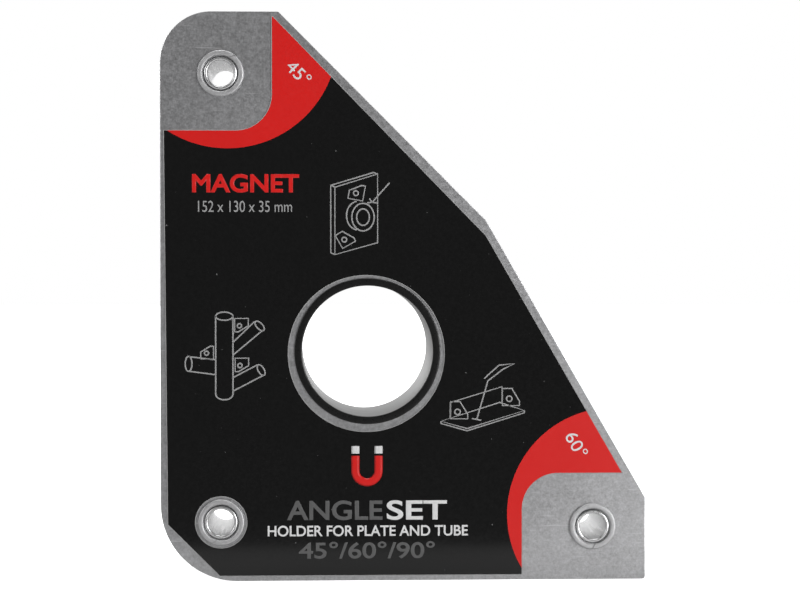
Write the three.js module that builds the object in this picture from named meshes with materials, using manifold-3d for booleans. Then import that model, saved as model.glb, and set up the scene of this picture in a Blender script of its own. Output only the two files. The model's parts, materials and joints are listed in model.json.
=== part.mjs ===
// A multi-angle welding magnet holder: two steel side plates, a moulded carrier with ferrite
// magnets between them, three hollow rivets, and a sleeved finger hole.
// Millimetres. X runs to the right, Y to the rear and Z up. The origin is the middle of the
// bottom edge: the plates stand upright and their outlines lie in the XZ plane.

import * as THREE from 'three';
import { mergeVertices } from 'three/addons/utils/BufferGeometryUtils.js';
import Module from 'manifold-3d';

const wasm = await Module();
wasm.setup();

// Outline of the side plates
const PLATE_WIDTH = 130;
const PLATE_HEIGHT = 152;
const RIGHT_LAND = 22;            // upright edge below the 60 degree edge
const LOWER_SLANT_LENGTH = 86;    // the 60 degree edge; the 45 degree edge follows from it
const LOWER_SLANT_ANGLE = 60;     // from the bottom edge
const UPPER_SLANT_ANGLE = 45;     // from the bottom edge
const TOP_LEFT_RADIUS = 13.7;
const BOTTOM_LEFT_RADIUS = 20.5;
const CORNER_RADIUS = 0.8;        // the three sharp corners, just broken

// Depth of the stack
const PLATE_THICKNESS = 5;
const CORE_THICKNESS = 25;

// Hollow rivets, their spacer bushes and their rolled collars
const LEFT_BORE_INSET = 16.1;     // of both left bores, from the left edge
const TOP_BORE_DROP = 16.5;       // of the upper left bore, from the top edge
const BOTTOM_BORE_RISE = 15.8;    // of the lower left bore, from the bottom edge
const RIGHT_BORE_INSET = 14.3;    // of the lower right bore, from the right edge
const RIGHT_BORE_RISE = 14.3;     // of the lower right bore, from the bottom edge
const BORE_RADIUS = 3.5;
const RIVET_WALL = 0.95;
const RIVET_PROUD = 0.6;          // rivet end past the plate face
const RIVET_END_ROUND = 0.4;
const COLLAR_GROOVE = 0.35;       // gap between rivet and collar
const COLLAR_BAND = 1.4;          // radial width of the collar
const COLLAR_HEIGHT = 0.9;
const COLLAR_SHOULDER = 0.35;     // height of the crest's two foot lines, as a share of the crest
const COLLAR_STEPS = 4;           // facets across the crest
const BUSH_WALL = 2;
const RIVET_CLEARANCE = 0.1;      // rivet in the plates and bushes
const BUSH_CLEARANCE = 0.2;       // bush in the carrier

// Finger hole
const FINGER_HOLE_INSET = 55.2;   // centre from the left edge
const FINGER_HOLE_RISE = 61.5;    // centre from the bottom edge
const FINGER_HOLE_RADIUS = 17.5;
const SLEEVE_WALL = 1;
const SLEEVE_CLEARANCE = 0.15;    // sleeve in the plates and the carrier
const RING_BAND = 2.05;           // radial width of the black ring
const RING_HEIGHT = 0.6;
const RING_EDGE = 0.2;            // chamfer of the ring's two outer edges

// Magnets and the carrier that holds them
const CORE_RECESS = 1.5;          // carrier and magnets set back from the plate edges
const MAGNET_DEPTH = 20;          // from the working edge inwards
const MAGNET_LAYERS = ['front', 'rear']; // blocks side by side through the core
const POCKET_GAP = 0.3;           // magnet to pocket wall
const POCKET_WEB = 3.5;           // carrier wall between pockets, and round the bushes
const SLANT_END = 9;              // from the end of an edge to its first magnet

// Label film
const FILM_THICKNESS = 0.3;
const LABEL_BOTTOM_MARGIN = 1.3;
const LABEL_LEFT_MARGIN = 0.6;    // at the top; the film's left edge leans in from there
const LABEL_LEFT_LEAN = 0.5;      // degrees
const LABEL_LOWER_MARGIN = 2;     // along the 60 degree edge
const LABEL_UPPER_MARGIN = 2.8;   // at the foot of the 45 degree edge, less towards its top
const LABEL_UPPER_LEAN = -0.7;    // degrees
const LABEL_TOP_MARGIN = 1.2;
const LABEL_RING_CLEARANCE = 1.25; // film to the black ring
const LABEL_RING_SHIFT_X = -0.3;  // how far that hole is off centre
const LABEL_RING_SHIFT_Z = -0.65;
const LABEL_COLLAR_CLEARANCE = 0.6; // film to the lower left collar
const LABEL_CUT = 17;             // lower left corner cut, along both edges
const LABEL_NOTCH_RADIUS = 9.5;   // inner corner of the two bare corners
const TOP_NOTCH_RIGHT = 13.5;     // upper bare corner, right of its bore
const TOP_NOTCH_BELOW = 15;       // and below its bore
const RIGHT_NOTCH_LEFT = 18.9;    // lower bare corner, left of its bore
const RIGHT_NOTCH_ABOVE = 14.2;   // and above its bore

const CHORD_ERROR = 0.04;         // greatest distance between a round surface and its facets
const WELD_DISTANCE = 1e-4;       // points nearer than this are one corner
const CUT_OVERRUN = 1;            // how far a pocket cut runs past the carrier's faces

const DEGREE = Math.PI / 180;
const LEFT_EDGE = -PLATE_WIDTH / 2;
const RIGHT_EDGE = PLATE_WIDTH / 2;
const PLATE_FACE = CORE_THICKNESS / 2 + PLATE_THICKNESS;
const RIVET_RADIUS = BORE_RADIUS + RIVET_WALL;
const BUSH_RADIUS = RIVET_RADIUS + RIVET_CLEARANCE + BUSH_WALL;
const COLLAR_RADIUS = RIVET_RADIUS + COLLAR_GROOVE + COLLAR_BAND;
const SLEEVE_RADIUS = FINGER_HOLE_RADIUS + SLEEVE_WALL;
const RING_RADIUS = FINGER_HOLE_RADIUS + RING_BAND;

const bores = {
  top: { x: LEFT_EDGE + LEFT_BORE_INSET, z: PLATE_HEIGHT - TOP_BORE_DROP },
  left: { x: LEFT_EDGE + LEFT_BORE_INSET, z: BOTTOM_BORE_RISE },
  right: { x: RIGHT_EDGE - RIGHT_BORE_INSET, z: RIGHT_BORE_RISE },
};
const fingerHole = { x: LEFT_EDGE + FINGER_HOLE_INSET, z: FINGER_HOLE_RISE };

// The plate outline as lines run anticlockwise, so that the plate lies on the left of each one.
const lowerAngle = (180 - LOWER_SLANT_ANGLE) * DEGREE;
const upperAngle = (180 - UPPER_SLANT_ANGLE) * DEGREE;
const vertex = {
  x: RIGHT_EDGE + LOWER_SLANT_LENGTH * Math.cos(lowerAngle),
  z: RIGHT_LAND + LOWER_SLANT_LENGTH * Math.sin(lowerAngle),
};
const edges = {
  bottom: { x: LEFT_EDGE, z: 0, angle: 0 },
  right: { x: RIGHT_EDGE, z: 0, angle: 90 * DEGREE },
  lower: { x: RIGHT_EDGE, z: RIGHT_LAND, angle: lowerAngle },
  upper: { ...vertex, angle: upperAngle },
  top: { x: RIGHT_EDGE, z: PLATE_HEIGHT, angle: 180 * DEGREE },
  left: { x: LEFT_EDGE, z: PLATE_HEIGHT, angle: 270 * DEGREE },
};

// A line moved to its left, into the plate.
function inset(line, distance) {
  return {
    x: line.x - distance * Math.sin(line.angle),
    z: line.z + distance * Math.cos(line.angle),
    angle: line.angle,
  };
}

// How far along a line a point lies, and how far to its left.
function along(line, point) {
  return (point.x - line.x) * Math.cos(line.angle) + (point.z - line.z) * Math.sin(line.angle);
}

function leftOf(line, point) {
  return (point.z - line.z) * Math.cos(line.angle) - (point.x - line.x) * Math.sin(line.angle);
}

function leaning(line, degrees) {
  return { ...line, angle: line.angle + degrees * DEGREE };
}

function crossing(first, second) {
  const run = leftOf(second, first) / Math.sin(second.angle - first.angle);
  return { x: first.x + run * Math.cos(first.angle), z: first.z + run * Math.sin(first.angle) };
}

// Round surfaces are made of flat facets, as many as keep them within the chord error.
function facets(radius, turn) {
  return Math.ceil(Math.abs(turn) / (2 * Math.acos(1 - CHORD_ERROR / radius)));
}

function arc(x, z, radius, from, turn) {
  const steps = facets(radius, turn);
  return Array.from({ length: steps + 1 }, (_, i) => {
    const angle = from + (turn * i) / steps;
    return new THREE.Vector2(x + radius * Math.cos(angle), z + radius * Math.sin(angle));
  });
}

// A closed shape inside the given lines. Each item is [line, radius of the corner that ends it].
function roundedShape(items) {
  const points = items.flatMap(([line, radius], i) => {
    const [next] = items[(i + 1) % items.length];
    const corner = crossing(line, next);
    if (radius === 0) return new THREE.Vector2(corner.x, corner.z);
    const turn = Math.atan2(Math.sin(next.angle - line.angle), Math.cos(next.angle - line.angle));
    const side = Math.sign(turn);
    const tangent = radius * Math.tan(Math.abs(turn) / 2);
    const centreX = corner.x - tangent * Math.cos(line.angle) - side * radius * Math.sin(line.angle);
    const centreZ = corner.z - tangent * Math.sin(line.angle) + side * radius * Math.cos(line.angle);
    return arc(centreX, centreZ, radius, line.angle - side * 90 * DEGREE, turn);
  });
  return new THREE.Shape(points);
}

function circle(centre, radius) {
  return new THREE.Path(arc(centre.x, centre.z, radius, 0, -360 * DEGREE).slice(1));
}

// A flat piece of the given outline between two depths.
function slab(shape, front, rear) {
  const geometry = new THREE.ExtrudeGeometry(shape, { depth: rear - front, bevelEnabled: false });
  geometry.rotateX(90 * DEGREE);
  geometry.translate(0, rear, 0);
  return geometry;
}

// A turned ring round an axis that runs through the plates. Profile points are [radius, depth],
// and the ring closes on itself.
function turned(profile) {
  const points = profile.map(([radius, depth]) => new THREE.Vector2(radius, depth));
  points.push(points[0].clone());
  return new THREE.LatheGeometry(points, facets(profile[0][0], 360 * DEGREE));
}

function toSolid(geometry) {
  const bare = geometry.clone();
  bare.deleteAttribute('normal');
  bare.deleteAttribute('uv');
  const merged = mergeVertices(bare, WELD_DISTANCE);
  const vertProperties = new Float32Array(merged.attributes.position.array);
  const triVerts = new Uint32Array(merged.index.array);
  return new wasm.Manifold(new wasm.Mesh({ numProp: 3, vertProperties, triVerts }));
}

function toGeometry(solid) {
  const mesh = solid.getMesh();
  const geometry = new THREE.BufferGeometry();
  geometry.setAttribute('position', new THREE.BufferAttribute(mesh.vertProperties, 3));
  geometry.setIndex(new THREE.BufferAttribute(mesh.triVerts, 1));
  geometry.computeVertexNormals();
  return geometry;
}

function material(color, roughness, metalness) {
  return new THREE.MeshStandardMaterial({ color, roughness, metalness });
}

const satinSteel = material('#8f9092', 0.38, 1);
const rivetSteel = material('#c9cacc', 0.28, 1);
const blackRing = material('#161616', 0.55, 0);
const blackNylon = material('#1b1c1d', 0.6, 0);
const ferrite = material('#34353a', 0.7, 0.1);
const labelFilm = material('#1d1d1d', 0.45, 0);

const holder = new THREE.Group();

function add(name, geometry, look, centre = { x: 0, z: 0 }) {
  const mesh = new THREE.Mesh(geometry, look);
  mesh.name = name;
  mesh.position.set(centre.x, 0, centre.z);
  holder.add(mesh);
  return mesh;
}

// The two side plates: the same outline, with the three rivet holes and the sleeve hole.
function plateShape() {
  const shape = roundedShape([
    [edges.bottom, CORNER_RADIUS],
    [edges.right, CORNER_RADIUS],
    [edges.lower, 0],
    [edges.upper, CORNER_RADIUS],
    [edges.top, TOP_LEFT_RADIUS],
    [edges.left, BOTTOM_LEFT_RADIUS],
  ]);
  const boreHole = RIVET_RADIUS + RIVET_CLEARANCE;
  Object.values(bores).forEach((bore) => shape.holes.push(circle(bore, boreHole)));
  shape.holes.push(circle(fingerHole, SLEEVE_RADIUS + SLEEVE_CLEARANCE));
  return shape;
}

add('front_plate', slab(plateShape(), -PLATE_FACE, -CORE_THICKNESS / 2), satinSteel);
add('rear_plate', slab(plateShape(), CORE_THICKNESS / 2, PLATE_FACE), satinSteel);

// Magnet rows: each working edge has a row of pockets between whatever bounds it, which is a
// corner of the plate, a spacer bush, or the row of a neighbouring edge.
const BUSH_REACH = BUSH_RADIUS + POCKET_WEB;
const edgeEnds = {
  left: [crossing(edges.top, edges.left), crossing(edges.left, edges.bottom)],
  bottom: [crossing(edges.left, edges.bottom), crossing(edges.bottom, edges.right)],
  lower: [crossing(edges.right, edges.lower), vertex],
  upper: [vertex, crossing(edges.upper, edges.top)],
};

// Where along a row's line its magnets' inner faces come a web away from another row.
function clearOf(line, neighbour) {
  const limit = inset(edges[neighbour], CORE_RECESS + MAGNET_DEPTH + POCKET_WEB);
  return along(line, crossing(inset(line, MAGNET_DEPTH), limit));
}

function pocketRow({ edge, count, startsClearOf, endsClearOf }) {
  const line = inset(edges[edge], CORE_RECESS);
  const [start, end] = edgeEnds[edge].map((point) => along(line, point));
  let low = start + SLANT_END;
  let high = end - SLANT_END;
  if (startsClearOf) low = Math.max(low, clearOf(line, startsClearOf));
  if (endsClearOf) high = Math.min(high, clearOf(line, endsClearOf));
  Object.values(bores).forEach((bore) => {
    if (leftOf(line, bore) > MAGNET_DEPTH + BUSH_REACH) return;
    const place = along(line, bore);
    if (place < (start + end) / 2) low = Math.max(low, place + BUSH_REACH);
    else high = Math.min(high, place - BUSH_REACH);
  });
  const length = (high - low - (count - 1) * POCKET_WEB) / count;
  return Array.from({ length: count }, (_, i) => {
    const middle = low + length / 2 + i * (length + POCKET_WEB);
    return {
      name: `${edge}_${i + 1}`,
      length,
      angle: line.angle,
      x: line.x + middle * Math.cos(line.angle),
      z: line.z + middle * Math.sin(line.angle),
    };
  });
}

const pockets = [
  { edge: 'left', count: 2 },
  { edge: 'bottom', count: 2 },
  { edge: 'lower', count: 1, startsClearOf: 'bottom' },
  { edge: 'upper', count: 1, endsClearOf: 'left' },
].flatMap(pocketRow);

// A block whose outer face lies on the pocket's line, grown by a gap at its ends and inner face
// and by a reach past the line.
function block(pocket, gap, reach, front, rear) {
  const geometry = new THREE.BoxGeometry(pocket.length + 2 * gap, rear - front, MAGNET_DEPTH + gap + reach);
  geometry.translate(0, (front + rear) / 2, (MAGNET_DEPTH + gap - reach) / 2);
  geometry.rotateY(-pocket.angle);
  geometry.translate(pocket.x, 0, pocket.z);
  return geometry;
}

// The moulded carrier: fills the space between the plates, set back from their edges, with the
// pockets open at the edge and holes for the bushes and the sleeve.
function carrierGeometry() {
  const shape = roundedShape([
    [inset(edges.bottom, CORE_RECESS), CORNER_RADIUS],
    [inset(edges.right, CORE_RECESS), CORNER_RADIUS],
    [inset(edges.lower, CORE_RECESS), 0],
    [inset(edges.upper, CORE_RECESS), CORNER_RADIUS],
    [inset(edges.top, CORE_RECESS), TOP_LEFT_RADIUS - CORE_RECESS],
    [inset(edges.left, CORE_RECESS), BOTTOM_LEFT_RADIUS - CORE_RECESS],
  ]);
  Object.values(bores).forEach((bore) => shape.holes.push(circle(bore, BUSH_RADIUS + BUSH_CLEARANCE)));
  shape.holes.push(circle(fingerHole, SLEEVE_RADIUS + SLEEVE_CLEARANCE));
  const face = CORE_THICKNESS / 2;
  const cut = face + CUT_OVERRUN;
  let solid = toSolid(slab(shape, -face, face));
  pockets.forEach((pocket) => {
    solid = solid.subtract(toSolid(block(pocket, POCKET_GAP, CORE_RECESS, -cut, cut)));
  });
  return toGeometry(solid);
}

add('magnet_carrier', carrierGeometry(), blackNylon);

// The ferrite blocks: one beside the other through the core, against the plates.
const layerThickness = CORE_THICKNESS / MAGNET_LAYERS.length;
pockets.forEach((pocket) => {
  MAGNET_LAYERS.forEach((layer, i) => {
    const front = -CORE_THICKNESS / 2 + i * layerThickness;
    const geometry = block(pocket, 0, 0, front, front + layerThickness);
    add(`magnet_${pocket.name}_${layer}`, geometry, ferrite);
  });
});

// Hollow rivets: a tube right through, its ends rounded over.
function rivetGeometry() {
  const end = PLATE_FACE + RIVET_PROUD;
  const round = RIVET_END_ROUND;
  return turned([
    [BORE_RADIUS, -end + round],
    [BORE_RADIUS + round, -end],
    [RIVET_RADIUS - round / 2, -end],
    [RIVET_RADIUS, -end + round / 2],
    [RIVET_RADIUS, end - round / 2],
    [RIVET_RADIUS - round / 2, end],
    [BORE_RADIUS + round, end],
    [BORE_RADIUS, end - round],
  ]);
}

// Spacer bushes: they hold the plates apart round each rivet.
function bushGeometry() {
  const bore = RIVET_RADIUS + RIVET_CLEARANCE;
  const face = CORE_THICKNESS / 2;
  return turned([[bore, -face], [BUSH_RADIUS, -face], [BUSH_RADIUS, face], [bore, face]]);
}

// Rolled collars: a washer with a domed crest on each plate face, side -1 at the front.
function collarGeometry(side) {
  const inner = RIVET_RADIUS + COLLAR_GROOVE;
  const profile = [[inner, PLATE_FACE]];
  for (let step = 0; step <= COLLAR_STEPS; step += 1) {
    const share = step / COLLAR_STEPS;
    const rise = (1 - COLLAR_SHOULDER) * Math.sin(share * Math.PI);
    const height = COLLAR_HEIGHT * (COLLAR_SHOULDER + rise);
    profile.push([inner + share * COLLAR_BAND, PLATE_FACE + height]);
  }
  profile.push([COLLAR_RADIUS, PLATE_FACE]);
  const facing = profile.map(([radius, depth]) => [radius, side * depth]);
  return turned(side < 0 ? facing : facing.reverse());
}

Object.entries(bores).forEach(([place, bore]) => {
  add(`rivet_${place}`, rivetGeometry(), rivetSteel, bore);
  add(`spacer_bush_${place}`, bushGeometry(), satinSteel, bore);
  add(`collar_front_${place}`, collarGeometry(-1), rivetSteel, bore);
  add(`collar_rear_${place}`, collarGeometry(1), rivetSteel, bore);
});

// Finger hole: a thin sleeve through the whole stack and a flat black ring on each end of it.
function sleeveGeometry() {
  const inner = FINGER_HOLE_RADIUS;
  return turned([
    [inner, -PLATE_FACE],
    [SLEEVE_RADIUS, -PLATE_FACE],
    [SLEEVE_RADIUS, PLATE_FACE],
    [inner, PLATE_FACE],
  ]);
}

function ringGeometry(side) {
  const inner = FINGER_HOLE_RADIUS;
  const outer = RING_RADIUS;
  const top = PLATE_FACE + RING_HEIGHT;
  const profile = [
    [inner, PLATE_FACE],
    [inner, top - RING_EDGE],
    [inner + RING_EDGE, top],
    [outer - RING_EDGE, top],
    [outer, top - RING_EDGE],
    [outer, PLATE_FACE],
  ].map(([radius, depth]) => [radius, side * depth]);
  return turned(side < 0 ? profile : profile.reverse());
}

add('finger_sleeve', sleeveGeometry(), satinSteel, fingerHole);
add('finger_ring_front', ringGeometry(-1), blackRing, fingerHole);
add('finger_ring_rear', ringGeometry(1), blackRing, fingerHole);

// Label films: cut back from the plate edges, from the two bare corners and from the rings.
function labelShape() {
  const upperNotch = { x: bores.top.x + TOP_NOTCH_RIGHT, z: bores.top.z - TOP_NOTCH_BELOW };
  const lowerNotch = { x: bores.right.x - RIGHT_NOTCH_LEFT, z: bores.right.z + RIGHT_NOTCH_ABOVE };
  const shape = roundedShape([
    [inset(edges.bottom, LABEL_BOTTOM_MARGIN), 0],
    [{ ...lowerNotch, angle: 90 * DEGREE }, LABEL_NOTCH_RADIUS],
    [{ ...lowerNotch, angle: 0 }, 0],
    [inset(edges.lower, LABEL_LOWER_MARGIN), 0],
    [leaning(inset(edges.upper, LABEL_UPPER_MARGIN), LABEL_UPPER_LEAN), 0],
    [inset(edges.top, LABEL_TOP_MARGIN), 0],
    [{ ...upperNotch, angle: 270 * DEGREE }, LABEL_NOTCH_RADIUS],
    [{ ...upperNotch, angle: 180 * DEGREE }, 0],
    [leaning(inset(edges.left, LABEL_LEFT_MARGIN), LABEL_LEFT_LEAN), 0],
    [{ x: LEFT_EDGE, z: LABEL_CUT, angle: 315 * DEGREE }, 0],
  ]);
  const ringCentre = { x: fingerHole.x + LABEL_RING_SHIFT_X, z: fingerHole.z + LABEL_RING_SHIFT_Z };
  shape.holes.push(circle(ringCentre, RING_RADIUS + LABEL_RING_CLEARANCE));
  shape.holes.push(circle(bores.left, COLLAR_RADIUS + LABEL_COLLAR_CLEARANCE));
  return shape;
}

add('label_front', slab(labelShape(), -PLATE_FACE - FILM_THICKNESS, -PLATE_FACE), labelFilm);
add('label_rear', slab(labelShape(), PLATE_FACE, PLATE_FACE + FILM_THICKNESS), labelFilm);

export default holder;
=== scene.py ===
# A welding magnet holder with 45, 60 and 90 degree edges, standing on its long bottom edge.
# Metres, in the frame of the CAD model: X to the right, Y to the rear, Z up.

import json
import math

import bpy
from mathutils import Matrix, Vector

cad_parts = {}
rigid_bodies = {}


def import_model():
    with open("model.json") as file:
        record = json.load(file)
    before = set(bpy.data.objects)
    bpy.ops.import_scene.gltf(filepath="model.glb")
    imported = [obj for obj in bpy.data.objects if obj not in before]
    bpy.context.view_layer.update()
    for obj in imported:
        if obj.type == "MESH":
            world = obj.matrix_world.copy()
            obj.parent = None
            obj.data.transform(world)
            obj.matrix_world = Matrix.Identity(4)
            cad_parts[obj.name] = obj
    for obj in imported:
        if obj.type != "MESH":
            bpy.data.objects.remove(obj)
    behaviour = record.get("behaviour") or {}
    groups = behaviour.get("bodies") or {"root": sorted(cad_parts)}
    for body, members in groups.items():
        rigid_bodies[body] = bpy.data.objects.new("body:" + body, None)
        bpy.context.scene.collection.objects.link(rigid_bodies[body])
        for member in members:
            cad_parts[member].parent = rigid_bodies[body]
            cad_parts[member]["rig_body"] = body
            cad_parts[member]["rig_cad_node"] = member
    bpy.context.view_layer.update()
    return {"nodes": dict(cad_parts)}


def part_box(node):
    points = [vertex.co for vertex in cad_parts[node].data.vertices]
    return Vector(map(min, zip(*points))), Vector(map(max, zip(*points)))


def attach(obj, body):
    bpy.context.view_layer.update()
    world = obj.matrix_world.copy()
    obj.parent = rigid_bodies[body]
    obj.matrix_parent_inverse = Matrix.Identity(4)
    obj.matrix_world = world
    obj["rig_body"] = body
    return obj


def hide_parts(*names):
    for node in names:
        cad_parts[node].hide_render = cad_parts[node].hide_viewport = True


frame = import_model()


# Camera: a short telephoto lens a good half metre in front, a little left of the middle and
# above it, so that the bores and the finger hole show a sliver of their walls.
CAMERA_PLACE = (-0.02515, -0.61149, 0.08827)
CAMERA_TILT = 88.738
CAMERA_TURN = -2.319
CAMERA_LENS = 100.05

bpy.ops.object.camera_add(location=CAMERA_PLACE)
camera = bpy.context.object
camera.rotation_euler = (math.radians(CAMERA_TILT), 0, math.radians(CAMERA_TURN))
camera.data.lens = CAMERA_LENS
bpy.context.scene.camera = camera


# Side plates: two alike, cut from 5 mm steel sheet, with their edges broken to a small round.
# They lie on both faces of the core, and three hollow rivets clamp them to it. Each plate has
# a 60 degree edge above a short upright land and a 45 degree edge above that.
RIGHT_LAND = 0.022
LOWER_SLANT = 0.086
LOWER_ANGLE = 60
UPPER_ANGLE = 45
TOP_LEFT_ROUND = 0.0137
BOTTOM_LEFT_ROUND = 0.0205
CORNER_ROUND = 0.0008
PLATE_EDGE_ROUND = 0.0002
HOLE_CLEARANCE = 0.0001
SLEEVE_CLEARANCE = 0.00015
WIDE_ROUND = 0.005          # from here up a round counts as wide
WIDE_ROUND_STEPS = 32
SMALL_ROUND_STEPS = 4
EDGE_STEPS = 2
BORE_STEPS = 96
FINGER_STEPS = 192
AT_CORNER = 0.0003          # an edge this near a corner belongs to it
STRAIGHT = 0.9              # share of a direction that makes it count as along an axis

plate_low, plate_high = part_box("front_plate")
rivet_box = {place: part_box(f"rivet_{place}") for place in ("top", "left", "right")}
bore_middle = {place: (low + high) / 2 for place, (low, high) in rivet_box.items()}
rivet_radius = (rivet_box["top"][1].x - rivet_box["top"][0].x) / 2
sleeve_low, sleeve_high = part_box("finger_sleeve")
finger_middle = (sleeve_low + sleeve_high) / 2
sleeve_radius = (sleeve_high.x - sleeve_low.x) / 2
slant_foot = Vector((plate_high.x, 0, RIGHT_LAND))
slant_run = Vector((-math.cos(math.radians(LOWER_ANGLE)), 0, math.sin(math.radians(LOWER_ANGLE))))
slant_top = slant_foot + slant_run * LOWER_SLANT


def outward(degrees):
    """The direction out of an edge that rises to the left at this angle."""
    return Vector((math.sin(math.radians(degrees)), 0, math.cos(math.radians(degrees))))


def choose(piece):
    bpy.ops.object.select_all(action="DESELECT")
    piece.select_set(True)
    bpy.context.view_layer.objects.active = piece


def settle(piece):
    """Puts a piece's place, turn and size into its mesh."""
    choose(piece)
    bpy.ops.object.transform_apply(location=True, rotation=True, scale=True)


def pick_edges(piece, wanted):
    """Opens a piece for editing with only those edges selected that are wanted."""
    choose(piece)
    bpy.ops.object.mode_set(mode="EDIT")
    bpy.ops.mesh.select_mode(type="EDGE")
    bpy.ops.mesh.select_all(action="DESELECT")
    bpy.ops.object.mode_set(mode="OBJECT")
    for edge in piece.data.edges:
        start, end = (piece.data.vertices[i].co for i in edge.vertices)
        edge.select = wanted((start + end) / 2, (end - start).normalized())
    bpy.ops.object.mode_set(mode="EDIT")


def cut_off(piece, point, direction):
    """Saws a piece along a plane and removes what lies in that direction from it."""
    choose(piece)
    bpy.ops.object.mode_set(mode="EDIT")
    bpy.ops.mesh.select_all(action="SELECT")
    bpy.ops.mesh.bisect(plane_co=point, plane_no=direction, use_fill=True, clear_outer=True)
    bpy.ops.object.mode_set(mode="OBJECT")


def round_corner(piece, x, z, offset, segments):
    """Rounds the edge that runs through a piece at one corner of its outline."""
    def at_corner(middle, run):
        return abs(run.y) > STRAIGHT and math.hypot(middle.x - x, middle.z - z) < AT_CORNER
    pick_edges(piece, at_corner)
    bpy.ops.mesh.bevel(offset=offset, segments=segments, affect="EDGES")
    bpy.ops.object.mode_set(mode="OBJECT")


def combine(piece, tool, operation="DIFFERENCE"):
    """Cuts a piece with a tool, or keeps what they share, and removes the tool."""
    choose(piece)
    cut = piece.modifiers.new("cut", "BOOLEAN")
    cut.operation = operation
    cut.object = tool
    bpy.ops.object.modifier_apply(modifier=cut.name)
    bpy.data.objects.remove(tool)


def bar(x, z, radius, facets, depth=0.1):
    """A round bar along Y, to cut a hole or an arc with."""
    bpy.ops.mesh.primitive_cylinder_add(
        vertices=facets, radius=radius, depth=depth, location=(x, 0, z), rotation=(math.pi / 2, 0, 0))
    tool = bpy.context.object
    settle(tool)
    return tool


def block(name, low, high):
    bpy.ops.mesh.primitive_cube_add(size=1, location=(low + high) / 2, scale=high - low)
    piece = bpy.context.object
    piece.name = piece.data.name = name
    settle(piece)
    return piece


def outline_block(name, low, high, set_back):
    """A block with the plate's outline, all round set back by a distance."""
    piece = block(name, low, high)
    foot = slant_foot - outward(LOWER_ANGLE) * set_back
    upper_foot = slant_top - outward(UPPER_ANGLE) * set_back
    cut_off(piece, foot, outward(LOWER_ANGLE))
    cut_off(piece, upper_foot, outward(UPPER_ANGLE))
    land_top = foot.z + (foot.x - high.x) * math.tan(math.radians(LOWER_ANGLE))
    top_end = upper_foot.x - (high.z - upper_foot.z) / math.tan(math.radians(UPPER_ANGLE))
    for x, z, radius, turn in (
        (low.x, high.z, TOP_LEFT_ROUND - set_back, 90),
        (low.x, low.z, BOTTOM_LEFT_ROUND - set_back, 90),
        (high.x, low.z, CORNER_ROUND, 90),
        (high.x, land_top, CORNER_ROUND, 90 - LOWER_ANGLE),
        (top_end, high.z, CORNER_ROUND, UPPER_ANGLE),
    ):
        segments = WIDE_ROUND_STEPS if radius > WIDE_ROUND else SMALL_ROUND_STEPS
        round_corner(piece, x, z, radius * math.tan(math.radians(turn / 2)), segments)
    return piece


def soften(piece, width, segments, sharper_than=40):
    """Rounds every sharp edge, and shades the rounds smooth and the flat faces flat."""
    choose(piece)
    rounding = piece.modifiers.new("rounding", "BEVEL")
    rounding.width = width
    rounding.segments = segments
    rounding.angle_limit = math.radians(sharper_than)
    rounding.use_clamp_overlap = False
    bpy.ops.object.modifier_apply(modifier=rounding.name)
    bpy.ops.object.shade_smooth_by_angle(angle=math.radians(sharper_than))
    shading = piece.modifiers.new("flat faces", "WEIGHTED_NORMAL")
    shading.keep_sharp = True
    bpy.ops.object.modifier_apply(modifier=shading.name)


def copy_of(piece, name, shift):
    choose(piece)
    bpy.ops.object.duplicate(linked=False)
    made = bpy.context.object
    made.name = made.data.name = name
    bpy.ops.transform.translate(value=shift)
    settle(made)
    return made


def place(piece, finish, *nodes):
    """Rides a piece on the holder, in the place of CAD nodes; the finish is not used."""
    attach(piece, "root")
    if nodes:
        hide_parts(*nodes)


def colour(code):
    """An sRGB hex colour as linear values."""
    shares = [int(code[i:i + 2], 16) / 255 for i in (1, 3, 5)]
    return [s / 12.92 if s <= 0.04045 else ((s + 0.055) / 1.055) ** 2.4 for s in shares] + [1]


def node(look, kind, inputs, **settings):
    """Adds a node to a material. An input is a value, or another node's output to link.

    A mix node has several inputs of one name, so they go by number: 0 is the share, 2 and 3
    are two numbers, and 6 and 7 are two colours.
    """
    made = look.node_tree.nodes.new(kind)
    for name, value in settings.items():
        setattr(made, name, value)
    for name, value in inputs.items():
        if isinstance(value, bpy.types.NodeSocket):
            look.node_tree.links.new(value, made.inputs[name])
        else:
            made.inputs[name].default_value = value
    return made


def new_look(name):
    look = bpy.data.materials.new(name)
    look.use_nodes = True
    look.node_tree.nodes.clear()
    return look


def paint(piece, look):
    piece.data.materials.clear()
    piece.data.materials.append(look)


front_plate = outline_block("side_plate_front", plate_low, plate_high, 0)
for middle in bore_middle.values():
    combine(front_plate, bar(middle.x, middle.z, rivet_radius + HOLE_CLEARANCE, BORE_STEPS))
combine(front_plate, bar(finger_middle.x, finger_middle.z, sleeve_radius + SLEEVE_CLEARANCE, FINGER_STEPS))
soften(front_plate, PLATE_EDGE_ROUND, EDGE_STEPS)

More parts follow.
